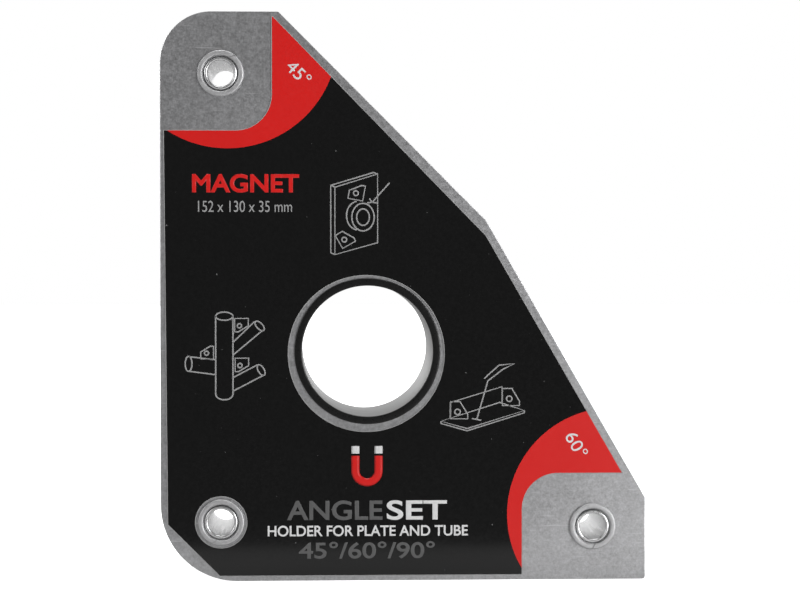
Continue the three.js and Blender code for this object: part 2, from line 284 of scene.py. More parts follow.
# Zinc plated sheet steel, passivated and tumbled: a soft grey satin with a fine frost of
# crystals, faint clouds where the plating is thicker, and a few hairline rubs.
zinc_sheet = new_look("zinc_plated_sheet_steel")
spot = node(zinc_sheet, "ShaderNodeTexCoord", {}).outputs["Object"]
FROST = 0.0005      # the real frost is half this, too fine to show
FROST_DEPTH = 0.00002
MOTTLE = 0.0009
CLOUD = 0.03
RUB_LENGTH = 0.012
RUB_WIDTH = 0.0004
RUB_LEAN = 24
NOISE_LOW = 0.3     # most of a noise's values lie between these two
NOISE_HIGH = 0.7
frost = node(zinc_sheet, "ShaderNodeTexNoise", {"Vector": spot, "Scale": 1 / FROST, "Detail": 3})
mottle = node(zinc_sheet, "ShaderNodeTexNoise", {"Vector": spot, "Scale": 1 / MOTTLE, "Detail": 4})
cloud = node(zinc_sheet, "ShaderNodeTexNoise", {"Vector": spot, "Scale": 1 / CLOUD, "Detail": 2})
fine = node(zinc_sheet, "ShaderNodeMix", {0: 0.5, 2: frost.outputs["Fac"], 3: mottle.outputs["Fac"]})
tone = node(zinc_sheet, "ShaderNodeMix", {0: 0.2, 2: fine.outputs[0], 3: cloud.outputs["Fac"]})
depth = node(
    zinc_sheet, "ShaderNodeMapRange",
    {"Value": tone.outputs[0], "From Min": 0.35, "From Max": 0.65})
zinc = node(
    zinc_sheet, "ShaderNodeMix",
    {0: depth.outputs[0], 6: colour("#a6a6a7"), 7: colour("#cacacc")}, data_type="RGBA")
along_rub = node(
    zinc_sheet, "ShaderNodeMapping",
    {"Vector": spot, "Rotation": (0, math.radians(RUB_LEAN), 0),
     "Scale": (1 / RUB_LENGTH, 1 / RUB_LENGTH, 1 / RUB_WIDTH)})
rub = node(zinc_sheet, "ShaderNodeTexNoise", {"Vector": along_rub.outputs[0], "Scale": 1, "Detail": 2})
hairline = node(
    zinc_sheet, "ShaderNodeMapRange",
    {"Value": rub.outputs["Fac"], "From Min": 0.7, "From Max": 0.76})
rubbed = node(
    zinc_sheet, "ShaderNodeMix",
    {0: hairline.outputs[0], 6: zinc.outputs[2], 7: colour("#dcdcde")}, data_type="RGBA")
satin = node(
    zinc_sheet, "ShaderNodeMapRange",
    {"Value": fine.outputs[0], "From Min": NOISE_LOW, "From Max": NOISE_HIGH,
     "To Min": 0.33, "To Max": 0.43})
grain = node(
    zinc_sheet, "ShaderNodeBump",
    {"Height": frost.outputs["Fac"], "Strength": 0.12, "Distance": FROST_DEPTH})
steel = node(
    zinc_sheet, "ShaderNodeBsdfPrincipled",
    {"Base Color": rubbed.outputs[2], "Metallic": 1,
     "Roughness": satin.outputs[0], "Normal": grain.outputs[0]})
node(zinc_sheet, "ShaderNodeOutputMaterial", {"Surface": steel.outputs[0]})
paint(front_plate, zinc_sheet)

rear_plate = copy_of(front_plate, "side_plate_rear", (0, -plate_low.y - plate_high.y, 0))
place(front_plate, "satin_steel", "front_plate")
place(rear_plate, "satin_steel", "rear_plate")


# Ferrite magnets: pressed and sintered blocks, two side by side at each place, their corners
# ground a little. They lie in pockets along the working edges and pull through the plates.
MAGNET_EDGE = 0.0004
MAGNET_PLACES = ("left_1", "left_2", "bottom_1", "bottom_2", "lower_1", "upper_1")
POCKET_GAP = 0.0003
WELD = 0.00001              # points nearer than this are one
SAME_PLANE = 1              # degrees between faces that are one face


def whole_copy(node_name, name):
    """A copy of a CAD node with its loose triangles merged into whole faces."""
    piece = copy_of(frame["nodes"][node_name], name, (0, 0, 0))
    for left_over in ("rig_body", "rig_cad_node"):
        del piece[left_over]
    piece.parent = None
    bpy.ops.object.mode_set(mode="EDIT")
    bpy.ops.mesh.select_all(action="SELECT")
    bpy.ops.mesh.remove_doubles(threshold=WELD)
    bpy.ops.mesh.dissolve_limited(angle_limit=math.radians(SAME_PLANE))
    bpy.ops.object.mode_set(mode="OBJECT")
    return piece


# Sintered ferrite: charcoal and dull, with a sandy grain and paler worn specks.
ferrite = new_look("sintered_ferrite")
spot = node(ferrite, "ShaderNodeTexCoord", {}).outputs["Object"]
SAND = 0.0007
PIT_DEPTH = 0.0001
sand = node(ferrite, "ShaderNodeTexNoise", {"Vector": spot, "Scale": 1 / SAND, "Detail": 5})
speck = node(
    ferrite, "ShaderNodeMapRange",
    {"Value": sand.outputs["Fac"], "From Min": 0.45, "From Max": 0.75})
char = node(
    ferrite, "ShaderNodeMix",
    {0: speck.outputs[0], 6: colour("#2f3034"), 7: colour("#5b5c60")}, data_type="RGBA")
pits = node(
    ferrite, "ShaderNodeBump",
    {"Height": sand.outputs["Fac"], "Strength": 0.5, "Distance": PIT_DEPTH})
body = node(
    ferrite, "ShaderNodeBsdfPrincipled",
    {"Base Color": char.outputs[2], "Metallic": 0.2, "Roughness": 0.62, "Normal": pits.outputs[0]})
node(ferrite, "ShaderNodeOutputMaterial", {"Surface": body.outputs[0]})

pocket_tools = []
for magnet_place in MAGNET_PLACES:
    for layer in ("front", "rear"):
        cad_name = f"magnet_{magnet_place}_{layer}"
        magnet = whole_copy(cad_name, f"ferrite_{magnet_place}_{layer}")
        tool = copy_of(magnet, "pocket", (0, 0, 0))
        bpy.ops.object.mode_set(mode="EDIT")
        bpy.ops.mesh.select_all(action="SELECT")
        bpy.ops.transform.shrink_fatten(value=POCKET_GAP, use_even_offset=True)
        bpy.ops.object.mode_set(mode="OBJECT")
        pocket_tools.append(tool)
        soften(magnet, MAGNET_EDGE, EDGE_STEPS)
        paint(magnet, ferrite)
        place(magnet, "ferrite", cad_name)


# Magnet carrier: one block moulded in black nylon that fills the space between the plates,
# set back from their edges. The magnets sit in its open pockets and the rivets pass through.
BUSH_CLEARANCE = 0.0002
CARRIER_EDGE = 0.0003
BUSH_STEPS = 64             # these two holes are hidden, so they are coarser
SLEEVE_STEPS = 128

carrier_low, carrier_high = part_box("magnet_carrier")
bush_low, bush_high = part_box("spacer_bush_top")
bush_hole = (bush_high.x - bush_low.x) / 2 + BUSH_CLEARANCE
carrier = outline_block("moulded_carrier", carrier_low, carrier_high, carrier_low.x - plate_low.x)
for tool in pocket_tools:
    combine(carrier, tool)
for middle in bore_middle.values():
    combine(carrier, bar(middle.x, middle.z, bush_hole, BUSH_STEPS))
combine(carrier, bar(finger_middle.x, finger_middle.z, sleeve_radius + SLEEVE_CLEARANCE, SLEEVE_STEPS))
soften(carrier, CARRIER_EDGE, EDGE_STEPS)

# Glass filled nylon, injection moulded: near black, half matt, with a light spark grain.
nylon = new_look("black_glass_filled_nylon")
spot = node(nylon, "ShaderNodeTexCoord", {}).outputs["Object"]
SPARK = 0.0008
SPARK_DEPTH = 0.00005
FLOW = 0.012
spark = node(nylon, "ShaderNodeTexNoise", {"Vector": spot, "Scale": 1 / SPARK, "Detail": 3})
flow = node(nylon, "ShaderNodeTexNoise", {"Vector": spot, "Scale": 1 / FLOW, "Detail": 2})
black = node(
    nylon, "ShaderNodeMix",
    {0: flow.outputs["Fac"], 6: colour("#151617"), 7: colour("#232426")}, data_type="RGBA")
matt = node(
    nylon, "ShaderNodeMapRange",
    {"Value": spark.outputs["Fac"], "From Min": NOISE_LOW, "From Max": NOISE_HIGH,
     "To Min": 0.45, "To Max": 0.65})
skin = node(
    nylon, "ShaderNodeBump",
    {"Height": spark.outputs["Fac"], "Strength": 0.35, "Distance": SPARK_DEPTH})
body = node(
    nylon, "ShaderNodeBsdfPrincipled",
    {"Base Color": black.outputs[2], "Roughness": matt.outputs[0], "IOR": 1.53, "Normal": skin.outputs[0]})
node(nylon, "ShaderNodeOutputMaterial", {"Surface": body.outputs[0]})
paint(carrier, nylon)
place(carrier, "black_nylon", "magnet_carrier")


# Spacer bushes: steel tube cut to the core's thickness, round each rivet between the plates.
# They are the CAD model's own, and only get their finish here.

# Turned free-cutting steel: plain grey with fine rings from the tool.
turned_steel = new_look("turned_steel")
spot = node(turned_steel, "ShaderNodeTexCoord", {}).outputs["Object"]
TOOL_FEED = 0.0004
feed = node(turned_steel, "ShaderNodeMapping", {"Vector": spot, "Scale": (1, 1 / TOOL_FEED, 1)})
marks = node(turned_steel, "ShaderNodeTexNoise", {"Vector": feed.outputs[0], "Scale": 1, "Detail": 2})
dull = node(
    turned_steel, "ShaderNodeMapRange",
    {"Value": marks.outputs["Fac"], "From Min": NOISE_LOW, "From Max": NOISE_HIGH,
     "To Min": 0.3, "To Max": 0.45})
steel = node(
    turned_steel, "ShaderNodeBsdfPrincipled",
    {"Base Color": colour("#b3b2af"), "Metallic": 1, "Roughness": dull.outputs[0]})
node(turned_steel, "ShaderNodeOutputMaterial", {"Surface": steel.outputs[0]})
for hole_name in bore_middle:
    paint(frame["nodes"][f"spacer_bush_{hole_name}"], turned_steel)


# Hollow rivets: steel tube right through the stack, bright zinc plated. Both ends stand a
# little proud of the plates and are rolled over, round the bolt bore.
RIVET_WALL = 0.00095
RIVET_END = 0.0004
RING_CORNER_STEPS = 6
RING_WELD = 0.000001
RING_SHARP = 35             # a ring's edges are shaded smooth up to this angle


def turned_ring(name, middle, inner, outer, front, rear, corner, steps, rounded=("front", "rear")):
    """A ring turned round an axis along Y from a square section with rounded corners."""
    section_middle = (middle.x + (inner + outer) / 2, (front + rear) / 2, middle.z)
    bpy.ops.mesh.primitive_plane_add(size=1, location=section_middle)
    ring = bpy.context.object
    ring.name = ring.data.name = name
    ring.scale = (outer - inner, rear - front, 1)
    settle(ring)
    bpy.ops.object.mode_set(mode="EDIT")
    bpy.ops.mesh.select_mode(type="VERT")
    bpy.ops.mesh.select_all(action="DESELECT")
    bpy.ops.object.mode_set(mode="OBJECT")
    for point in ring.data.vertices:
        point.select = ("front" if point.co.y < section_middle[1] else "rear") in rounded
    bpy.ops.object.mode_set(mode="EDIT")
    bpy.ops.mesh.bevel(offset=corner, segments=RING_CORNER_STEPS, affect="VERTICES")
    bpy.ops.mesh.select_all(action="SELECT")
    bpy.ops.mesh.delete(type="ONLY_FACE")
    bpy.ops.mesh.select_all(action="SELECT")
    bpy.ops.mesh.spin(steps=steps, angle=2 * math.pi, center=(middle.x, 0, middle.z), axis=(0, 1, 0))
    bpy.ops.mesh.select_all(action="SELECT")
    bpy.ops.mesh.remove_doubles(threshold=RING_WELD)
    bpy.ops.mesh.normals_make_consistent(inside=False)
    bpy.ops.object.mode_set(mode="OBJECT")
    bpy.ops.object.shade_smooth_by_angle(angle=math.radians(RING_SHARP))
    return ring


# Bright zinc on drawn steel tube: paler and smoother than the plates, so that its bore mirrors
# the light from its far end, with drawing lines along it.
bright_zinc = new_look("bright_zinc_drawn_steel")
spot = node(bright_zinc, "ShaderNodeTexCoord", {}).outputs["Object"]
DRAWN_WIDTH = 0.0005
DRAWN_LENGTH = 0.01
BLOOM = 0.0015
RIPPLE_DEPTH = 0.00002
drawn = node(
    bright_zinc, "ShaderNodeMapping",
    {"Vector": spot, "Scale": (1 / DRAWN_WIDTH, 1 / DRAWN_LENGTH, 1 / DRAWN_WIDTH)})
lines = node(bright_zinc, "ShaderNodeTexNoise", {"Vector": drawn.outputs[0], "Scale": 1, "Detail": 3})
bloom = node(bright_zinc, "ShaderNodeTexNoise", {"Vector": spot, "Scale": 1 / BLOOM, "Detail": 3})
pale = node(
    bright_zinc, "ShaderNodeMix",
    {0: bloom.outputs["Fac"], 6: colour("#d2d2d3"), 7: colour("#e6e6e6")}, data_type="RGBA")
shine = node(
    bright_zinc, "ShaderNodeMapRange",
    {"Value": lines.outputs["Fac"], "From Min": NOISE_LOW, "From Max": NOISE_HIGH,
     "To Min": 0.25, "To Max": 0.36})
ripple = node(
    bright_zinc, "ShaderNodeBump",
    {"Height": bloom.outputs["Fac"], "Strength": 0.05, "Distance": RIPPLE_DEPTH})
steel = node(
    bright_zinc, "ShaderNodeBsdfPrincipled",
    {"Base Color": pale.outputs[2], "Metallic": 1,
     "Roughness": shine.outputs[0], "Normal": ripple.outputs[0]})
node(bright_zinc, "ShaderNodeOutputMaterial", {"Surface": steel.outputs[0]})

for hole_name, middle in bore_middle.items():
    low, high = rivet_box[hole_name]
    rivet = turned_ring(
        f"hollow_rivet_{hole_name}", middle, rivet_radius - RIVET_WALL, rivet_radius,
        low.y, high.y, RIVET_END, BORE_STEPS)
    paint(rivet, bright_zinc)
    place(rivet, "rivet_steel", f"rivet_{hole_name}")


# Rolled collars: a strip of steel bent to a ring with rounded shoulders, pressed on round each
# rivet end. Its two ends meet in a slanting seam.
COLLAR_GROOVE = 0.00035
COLLAR_CREST = 0.0004
SEAM_WIDTH = 0.00014
SEAM_DEPTH = 0.0005
SEAM_LENGTH = 0.003
SEAM_TURN = {"top": 35, "left": 200, "right": 178}      # clockwise from the top, from the front
SEAM_SLANT = 35

# Zinc on cold rolled strip: the plates' soft grey but duller, with fine bruises from the
# press.
dull_zinc = new_look("zinc_on_rolled_strip")
spot = node(dull_zinc, "ShaderNodeTexCoord", {}).outputs["Object"]
BRUISE = 0.0006
BRUISE_DEPTH = 0.00002
bruise = node(dull_zinc, "ShaderNodeTexNoise", {"Vector": spot, "Scale": 1 / BRUISE, "Detail": 3})
strip = node(
    dull_zinc, "ShaderNodeMix",
    {0: bruise.outputs["Fac"], 6: colour("#a9a9aa"), 7: colour("#c6c6c7")}, data_type="RGBA")
soft = node(
    dull_zinc, "ShaderNodeMapRange",
    {"Value": bruise.outputs["Fac"], "From Min": NOISE_LOW, "From Max": NOISE_HIGH,
     "To Min": 0.48, "To Max": 0.6})
dents = node(
    dull_zinc, "ShaderNodeBump",
    {"Height": bruise.outputs["Fac"], "Strength": 0.15, "Distance": BRUISE_DEPTH})
steel = node(
    dull_zinc, "ShaderNodeBsdfPrincipled",
    {"Base Color": strip.outputs[2], "Metallic": 1,
     "Roughness": soft.outputs[0], "Normal": dents.outputs[0]})
node(dull_zinc, "ShaderNodeOutputMaterial", {"Surface": steel.outputs[0]})

for hole_name, middle in bore_middle.items():
    for side in ("front", "rear"):
        cad_name = f"collar_{side}_{hole_name}"
        low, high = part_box(cad_name)
        collar = turned_ring(
            f"rolled_{cad_name}", middle, rivet_radius + COLLAR_GROOVE, (high.x - low.x) / 2,
            low.y, high.y, COLLAR_CREST, BORE_STEPS, rounded=(side,))
        face = low.y if side == "front" else high.y
        turn = math.radians(SEAM_TURN[hole_name])
        mean_radius = ((high.x - low.x) / 2 + rivet_radius + COLLAR_GROOVE) / 2
        bpy.ops.mesh.primitive_cube_add(size=1, scale=(SEAM_WIDTH, 2 * SEAM_DEPTH, SEAM_LENGTH))
        seam = bpy.context.object
        seam_x = middle.x + mean_radius * math.sin(turn)
        seam_z = middle.z + mean_radius * math.cos(turn)
        seam.location = (seam_x, face, seam_z)
        seam.rotation_euler = (0, turn + math.radians(SEAM_SLANT), 0)
        settle(seam)
        combine(collar, seam)
        bpy.ops.object.shade_smooth_by_angle(angle=math.radians(RING_SHARP))
        paint(collar, dull_zinc)
        place(collar, "rivet_steel", cad_name)


# Finger sleeve: thin steel sheet rolled to a tube that lines the finger hole, with a butt seam
# down its inside and the edges at both ends broken.
SLEEVE_WALL = 0.001
SLEEVE_END = 0.0002
SEAM_GAP = 0.0002
SEAM_NOTCH = 0.0004         # the tool's height: half of it cuts into the wall
SEAM_TOOL = 0.1             # and its length, past both ends

sleeve = turned_ring(
    "finger_hole_sleeve", finger_middle, sleeve_radius - SLEEVE_WALL, sleeve_radius,
    sleeve_low.y, sleeve_high.y, SLEEVE_END, FINGER_STEPS)
bpy.ops.mesh.primitive_cube_add(size=1, scale=(SEAM_GAP, SEAM_TOOL, SEAM_NOTCH))
seam = bpy.context.object
seam.location = (finger_middle.x, 0, finger_middle.z + sleeve_radius - SLEEVE_WALL)
settle(seam)
combine(sleeve, seam)
bpy.ops.object.shade_smooth_by_angle(angle=math.radians(RING_SHARP))

# Cold rolled sheet with a thin clear zinc: pale grey, smooth, with faint lines round the hole.
rolled_sheet = new_look("cold_rolled_sheet")
spot = node(rolled_sheet, "ShaderNodeTexCoord", {}).outputs["Object"]
STREAK_WIDTH = 0.0007
STREAK_LENGTH = 0.02
rolling = node(
    rolled_sheet, "ShaderNodeMapping",
    {"Vector": spot, "Scale": (1 / STREAK_LENGTH, 1 / STREAK_WIDTH, 1 / STREAK_LENGTH)})
streaks = node(rolled_sheet, "ShaderNodeTexNoise", {"Vector": rolling.outputs[0], "Scale": 1, "Detail": 3})
pale = node(
    rolled_sheet, "ShaderNodeMix",
    {0: streaks.outputs["Fac"], 6: colour("#808080"), 7: colour("#929292")}, data_type="RGBA")
dull = node(
    rolled_sheet, "ShaderNodeMapRange",
    {"Value": streaks.outputs["Fac"], "From Min": NOISE_LOW, "From Max": NOISE_HIGH,
     "To Min": 0.4, "To Max": 0.55})
steel = node(
    rolled_sheet, "ShaderNodeBsdfPrincipled",
    {"Base Color": pale.outputs[2], "Metallic": 1, "Roughness": dull.outputs[0]})
node(rolled_sheet, "ShaderNodeOutputMaterial", {"Surface": steel.outputs[0]})
paint(sleeve, rolled_sheet)
place(sleeve, "sleeve_steel", "finger_sleeve")


# Black rings: flat moulded plastic rings on both ends of the finger hole, snapped over the
# sleeve, so that the edge doesn't bite the fingers.
RING_EDGE = 0.0003

# Black ABS, moulded: satin, slightly grey where the light catches its crown.
black_abs = new_look("black_moulded_abs")
spot = node(black_abs, "ShaderNodeTexCoord", {}).outputs["Object"]
RING_GRAIN = 0.0005
WEAR = 0.006
spark = node(black_abs, "ShaderNodeTexNoise", {"Vector": spot, "Scale": 1 / RING_GRAIN, "Detail": 3})
wear = node(black_abs, "ShaderNodeTexNoise", {"Vector": spot, "Scale": 1 / WEAR, "Detail": 3})
black = node(
    black_abs, "ShaderNodeMix",
    {0: wear.outputs["Fac"], 6: colour("#040404"), 7: colour("#0a0a0a")}, data_type="RGBA")
satin = node(
    black_abs, "ShaderNodeMapRange",
    {"Value": spark.outputs["Fac"], "From Min": NOISE_LOW, "From Max": NOISE_HIGH,
     "To Min": 0.26, "To Max": 0.36})
body = node(
    black_abs, "ShaderNodeBsdfPrincipled",
    {"Base Color": black.outputs[2], "Roughness": satin.outputs[0], "IOR": 1.45})
node(black_abs, "ShaderNodeOutputMaterial", {"Surface": body.outputs[0]})

for side in ("front", "rear"):
    cad_name = f"finger_ring_{side}"
    low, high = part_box(cad_name)
    ring = turned_ring(
        f"black_{cad_name}", finger_middle, sleeve_radius - SLEEVE_WALL, (high.x - low.x) / 2,
        low.y, high.y, RING_EDGE, FINGER_STEPS, rounded=(side,))
    paint(ring, black_abs)
    place(ring, "black_ring", cad_name)


# Label films: clear polycarbonate printed black from behind, die cut and glued to each plate.
# They stay clear of the plate's edges, of two bare corners and of the rings. A thin pale band round
# their cut edges is partly a painted highlight.
LABEL_BOTTOM = 0.0013
LABEL_TOP = 0.0012
LABEL_LEFT = 0.0006
LABEL_LEFT_LEAN = 0.5
LABEL_LOWER = 0.002
LABEL_UPPER = 0.0028
LABEL_UPPER_LEAN = 0.7
LABEL_CORNER_CUT = 0.017
NOTCH_ROUND = 0.0095
TOP_NOTCH = (0.0135, -0.015)        # inner corner, from the top bore
RIGHT_NOTCH = (-0.0189, 0.0142)     # inner corner, from the right bore
NOTCH_TOOL = 0.06                   # reach of the tool that cuts a corner out
NOTCH_TOOL_DEPTH = 0.1
NOTCH_STEPS = 24
RING_HOLE_SHIFT_X = -0.0003
RING_HOLE_SHIFT_Z = -0.00065
RING_HOLE_CLEARANCE = 0.00125
COLLAR_HOLE_CLEARANCE = 0.0006
CUT_EDGE = 0.0002

ring_low, ring_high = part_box("finger_ring_front")
ring_hole = (ring_high.x - ring_low.x) / 2 + RING_HOLE_CLEARANCE
collar_low, collar_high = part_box("collar_front_left")
collar_hole = (collar_high.x - collar_low.x) / 2 + COLLAR_HOLE_CLEARANCE


def label_sheet(name, front, rear, trim):
    """A sheet with the label's outline between two depths, all round smaller by a trim."""
    low = Vector((plate_low.x, front, plate_low.z))
    high = Vector((plate_high.x, rear, plate_high.z))
    sheet = block(name, low, high)
    for point, direction in (
        ((0, 0, low.z + LABEL_BOTTOM), Vector((0, 0, -1))),
        ((0, 0, high.z - LABEL_TOP), Vector((0, 0, 1))),
        ((low.x + LABEL_LEFT, 0, high.z), -outward(90 - LABEL_LEFT_LEAN)),
        (slant_top - outward(LOWER_ANGLE) * LABEL_LOWER, outward(LOWER_ANGLE)),
        (slant_top - outward(UPPER_ANGLE) * LABEL_UPPER, outward(UPPER_ANGLE + LABEL_UPPER_LEAN)),
        ((low.x, 0, low.z + LABEL_CORNER_CUT), -outward(45)),
    ):
        cut_off(sheet, Vector(point) - direction * trim, direction)
    for middle, (right, up) in ((bore_middle["top"], TOP_NOTCH), (bore_middle["right"], RIGHT_NOTCH)):
        x = middle.x + right + math.copysign(trim, right)
        z = middle.z + up + math.copysign(trim, up)
        reach = Vector((-math.copysign(NOTCH_TOOL, right), 0, -math.copysign(NOTCH_TOOL, up)))
        corner = Vector((x, -NOTCH_TOOL_DEPTH / 2, z))
        far = corner + reach + Vector((0, NOTCH_TOOL_DEPTH, 0))
        tool = block("notch", Vector(map(min, corner, far)), Vector(map(max, corner, far)))
        round_corner(tool, x, z, NOTCH_ROUND + trim, NOTCH_STEPS)
        combine(sheet, tool)
    hole_x = finger_middle.x + RING_HOLE_SHIFT_X
    hole_z = finger_middle.z + RING_HOLE_SHIFT_Z
    combine(sheet, bar(hole_x, hole_z, ring_hole + trim, FINGER_STEPS))
    combine(sheet, bar(bore_middle["left"].x, bore_middle["left"].z, collar_hole + trim, BORE_STEPS))
    return sheet


# Black print behind clear polycarbonate: deep black under a smooth gloss with a faint orange
# peel, a little dust, and fine marks from handling.
film_black = new_look("black_backed_polycarbonate_film")
spot = node(film_black, "ShaderNodeTexCoord", {}).outputs["Object"]
PEEL = 0.004
PEEL_DEPTH = 0.00002
PRINT_GRAIN = 0.0007
DUST = 0.0011
peel = node(film_black, "ShaderNodeTexNoise", {"Vector": spot, "Scale": 1 / PEEL, "Detail": 2})
printing = node(film_black, "ShaderNodeTexNoise", {"Vector": spot, "Scale": 1 / PRINT_GRAIN, "Detail": 3})
dust = node(film_black, "ShaderNodeTexNoise", {"Vector": spot, "Scale": 1 / DUST, "Detail": 1})
speck = node(
    film_black, "ShaderNodeMapRange",
    {"Value": dust.outputs["Fac"], "From Min": 0.79, "From Max": 0.84})
black = node(
    film_black, "ShaderNodeMix",
    {0: printing.outputs["Fac"], 6: colour("#010101"), 7: colour("#0e0e0e")}, data_type="RGBA")
dusty = node(
    film_black, "ShaderNodeMix",
    {0: speck.outputs[0], 6: black.outputs[2], 7: colour("#6c6c6c")}, data_type="RGBA")
gloss = node(
    film_black, "ShaderNodeMapRange",
    {"Value": printing.outputs["Fac"], "From Min": NOISE_LOW, "From Max": NOISE_HIGH,
     "To Min": 0.1, "To Max": 0.16})
wave = node(
    film_black, "ShaderNodeBump",
    {"Height": peel.outputs["Fac"], "Strength": 0.1, "Distance": PEEL_DEPTH})
body = node(
    film_black, "ShaderNodeBsdfPrincipled",
    {"Base Color": dusty.outputs[2], "Roughness": gloss.outputs[0], "IOR": 1.5, "Normal": wave.outputs[0]})
node(film_black, "ShaderNodeOutputMaterial", {"Surface": body.outputs[0]})

# The film's cut edge: clear plastic that scatters light. Its pale grey is partly the frosted edge's own
# tone and partly a painted highlight, standing in for the light the edge catches.
edge_highlight_look = new_look("cut_film_edge")
spot = node(edge_highlight_look, "ShaderNodeTexCoord", {}).outputs["Object"]
RAGGED = 0.002
ragged = node(edge_highlight_look, "ShaderNodeTexNoise", {"Vector": spot, "Scale": 1 / RAGGED, "Detail": 3})
pale = node(
    edge_highlight_look, "ShaderNodeMix",
    {0: ragged.outputs["Fac"], 6: colour("#6f6f6f"), 7: colour("#b0b0b0")}, data_type="RGBA")
body = node(
    edge_highlight_look, "ShaderNodeBsdfPrincipled",
    {"Base Color": pale.outputs[2], "Roughness": 0.45, "IOR": 1.58})
node(edge_highlight_look, "ShaderNodeOutputMaterial", {"Surface": body.outputs[0]})

label_face = {}
for side in ("front", "rear"):
    low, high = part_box(f"label_{side}")
    label_face[side] = low.y if side == "front" else high.y
    film = label_sheet(f"label_film_{side}", low.y, high.y, 0)
    facing = -1 if side == "front" else 1
    bpy.ops.object.mode_set(mode="EDIT")
    bpy.ops.mesh.select_mode(type="FACE")
    bpy.ops.mesh.select_all(action="DESELECT")
    bpy.ops.object.mode_set(mode="OBJECT")
    for flat in film.data.polygons:
        flat.select = flat.normal.y * facing > STRAIGHT
    bpy.ops.object.mode_set(mode="EDIT")
    bpy.ops.mesh.inset(thickness=CUT_EDGE, use_even_offset=True)
    bpy.ops.object.mode_set(mode="OBJECT")
    paint(film, film_black)
    # the inset border and the cut sides take the pale edge look, partly a painted highlight along the cut
    # edge
    film.data.materials.append(edge_highlight_look)
    for flat in film.data.polygons:
        flat.material_index = 0 if flat.select else 1
    place(film, "label_film", f"label_{side}")


# Red zones: two round areas of red screen print on each film, behind the top bore and the
# right bore, cut off by the film's own outline. Each has its middle, to the right and up, and
# its radius.
INK = 0.00005
INK_SUNK = 0.00002
ZONE_STEPS = 256
RED_ZONES = {"upper": (0.0179, 0.1451, 0.0295), "lower": (0.1212, 0.01765, 0.02855)}

# Signal red screen ink: opaque and smooth, half gloss, with a fine mesh mark from the screen.
red_ink = new_look("red_screen_ink")
spot = node(red_ink, "ShaderNodeTexCoord", {}).outputs["Object"]
SCREEN_MESH = 0.0005        # the real mesh is finer than can be seen
UNEVEN = 0.01
mesh_mark = node(red_ink, "ShaderNodeTexNoise", {"Vector": spot, "Scale": 1 / SCREEN_MESH, "Detail": 2})
uneven = node(red_ink, "ShaderNodeTexNoise", {"Vector": spot, "Scale": 1 / UNEVEN, "Detail": 2})
red = node(
    red_ink, "ShaderNodeMix",
    {0: uneven.outputs["Fac"], 6: colour("#c60804"), 7: colour("#cd0c06")}, data_type="RGBA")
gloss = node(
    red_ink, "ShaderNodeMapRange",
    {"Value": mesh_mark.outputs["Fac"], "From Min": NOISE_LOW, "From Max": NOISE_HIGH,
     "To Min": 0.32, "To Max": 0.42})
body = node(
    red_ink, "ShaderNodeBsdfPrincipled",
    {"Base Color": red.outputs[2], "Roughness": gloss.outputs[0], "IOR": 1.5})
node(red_ink, "ShaderNodeOutputMaterial", {"Surface": body.outputs[0]})

for side, face in label_face.items():
    facing = -1 if side == "front" else 1
    depths = sorted((face + facing * (INK - INK_SUNK), face - facing * INK_SUNK))
    for zone_name, (right, up, radius) in RED_ZONES.items():
        zone = label_sheet(f"red_{zone_name}_zone_{side}", depths[0], depths[1], CUT_EDGE)
        combine(zone, bar(plate_low.x + right, up, radius, ZONE_STEPS), "INTERSECT")
        paint(zone, red_ink)
        place(zone, "label_film")


# Printed words and figures: screen ink on the film, in a wide plain face. Figures for the
# angles and the size, and plain words for what the tool is.
WORD_INK = 0.00008      # thick enough to show on the red as well
GREY_INK = "#585858"
WHITE_INK = "#d9d9d9"
SILVER_INK = "#9c9c9c"
INK_GRAIN = 0.0006
THIN_INK = 0.8          # brightness where the ink lies thin


def flat_ink(name, code):
    """A screen ink of one colour: slightly mottled, half gloss."""
    look = new_look(name)
    place_on = node(look, "ShaderNodeTexCoord", {}).outputs["Object"]
    mottled = node(look, "ShaderNodeTexNoise", {"Vector": place_on, "Scale": 1 / INK_GRAIN, "Detail": 3})
    full = colour(code)
    thin = [value * THIN_INK for value in full[:3]] + [1]
    ink = node(look, "ShaderNodeMix", {0: mottled.outputs["Fac"], 6: thin, 7: full}, data_type="RGBA")
    sheen = node(
        look, "ShaderNodeMapRange",
        {"Value": mottled.outputs["Fac"], "From Min": NOISE_LOW, "From Max": NOISE_HIGH,
         "To Min": 0.35, "To Max": 0.5})
    surface = node(
        look, "ShaderNodeBsdfPrincipled",
        {"Base Color": ink.outputs[2], "Roughness": sheen.outputs[0], "IOR": 1.5})
    node(look, "ShaderNodeOutputMaterial", {"Surface": surface.outputs[0]})
    return look


grey_ink = flat_ink("grey_screen_ink", GREY_INK)
white_ink = flat_ink("white_screen_ink", WHITE_INK)
silver_ink = flat_ink("silver_screen_ink", SILVER_INK)

# words, ink, boldness, middle of the line from the plate's lower left corner, how far right of
# that middle the words stand, width, height, and turn in degrees
WORDS = (
    ("MAGNET", red_ink, 0.03, (0.02275, 0.1063), 0, 0.0285, 0.005, 0),
    ("152 x 130 x 35 mm", silver_ink, 0, (0.0226, 0.10015), 0, 0.025, 0.003, 0),
    ("ANGLE", grey_ink, 0.02, (0.05505, 0.0189), -0.00865, 0.0256, 0.0053, 0),
    ("SET", white_ink, 0.02, (0.05505, 0.0189), 0.01335, 0.0162, 0.0053, 0),
    ("HOLDER FOR PLATE AND TUBE", white_ink, 0.018, (0.0553, 0.0134), 0, 0.0536, 0.0029, 0),
    ("45°/60°/90°", grey_ink, 0.015, (0.055, 0.0082), 0, 0.0364, 0.0046, 0),
    ("45°", white_ink, 0, (0.0369, 0.13575), 0, 0.007, 0.0036, -45),
    ("60°", white_ink, 0, (0.11135, 0.0363), 0, 0.007, 0.0036, -60),
)


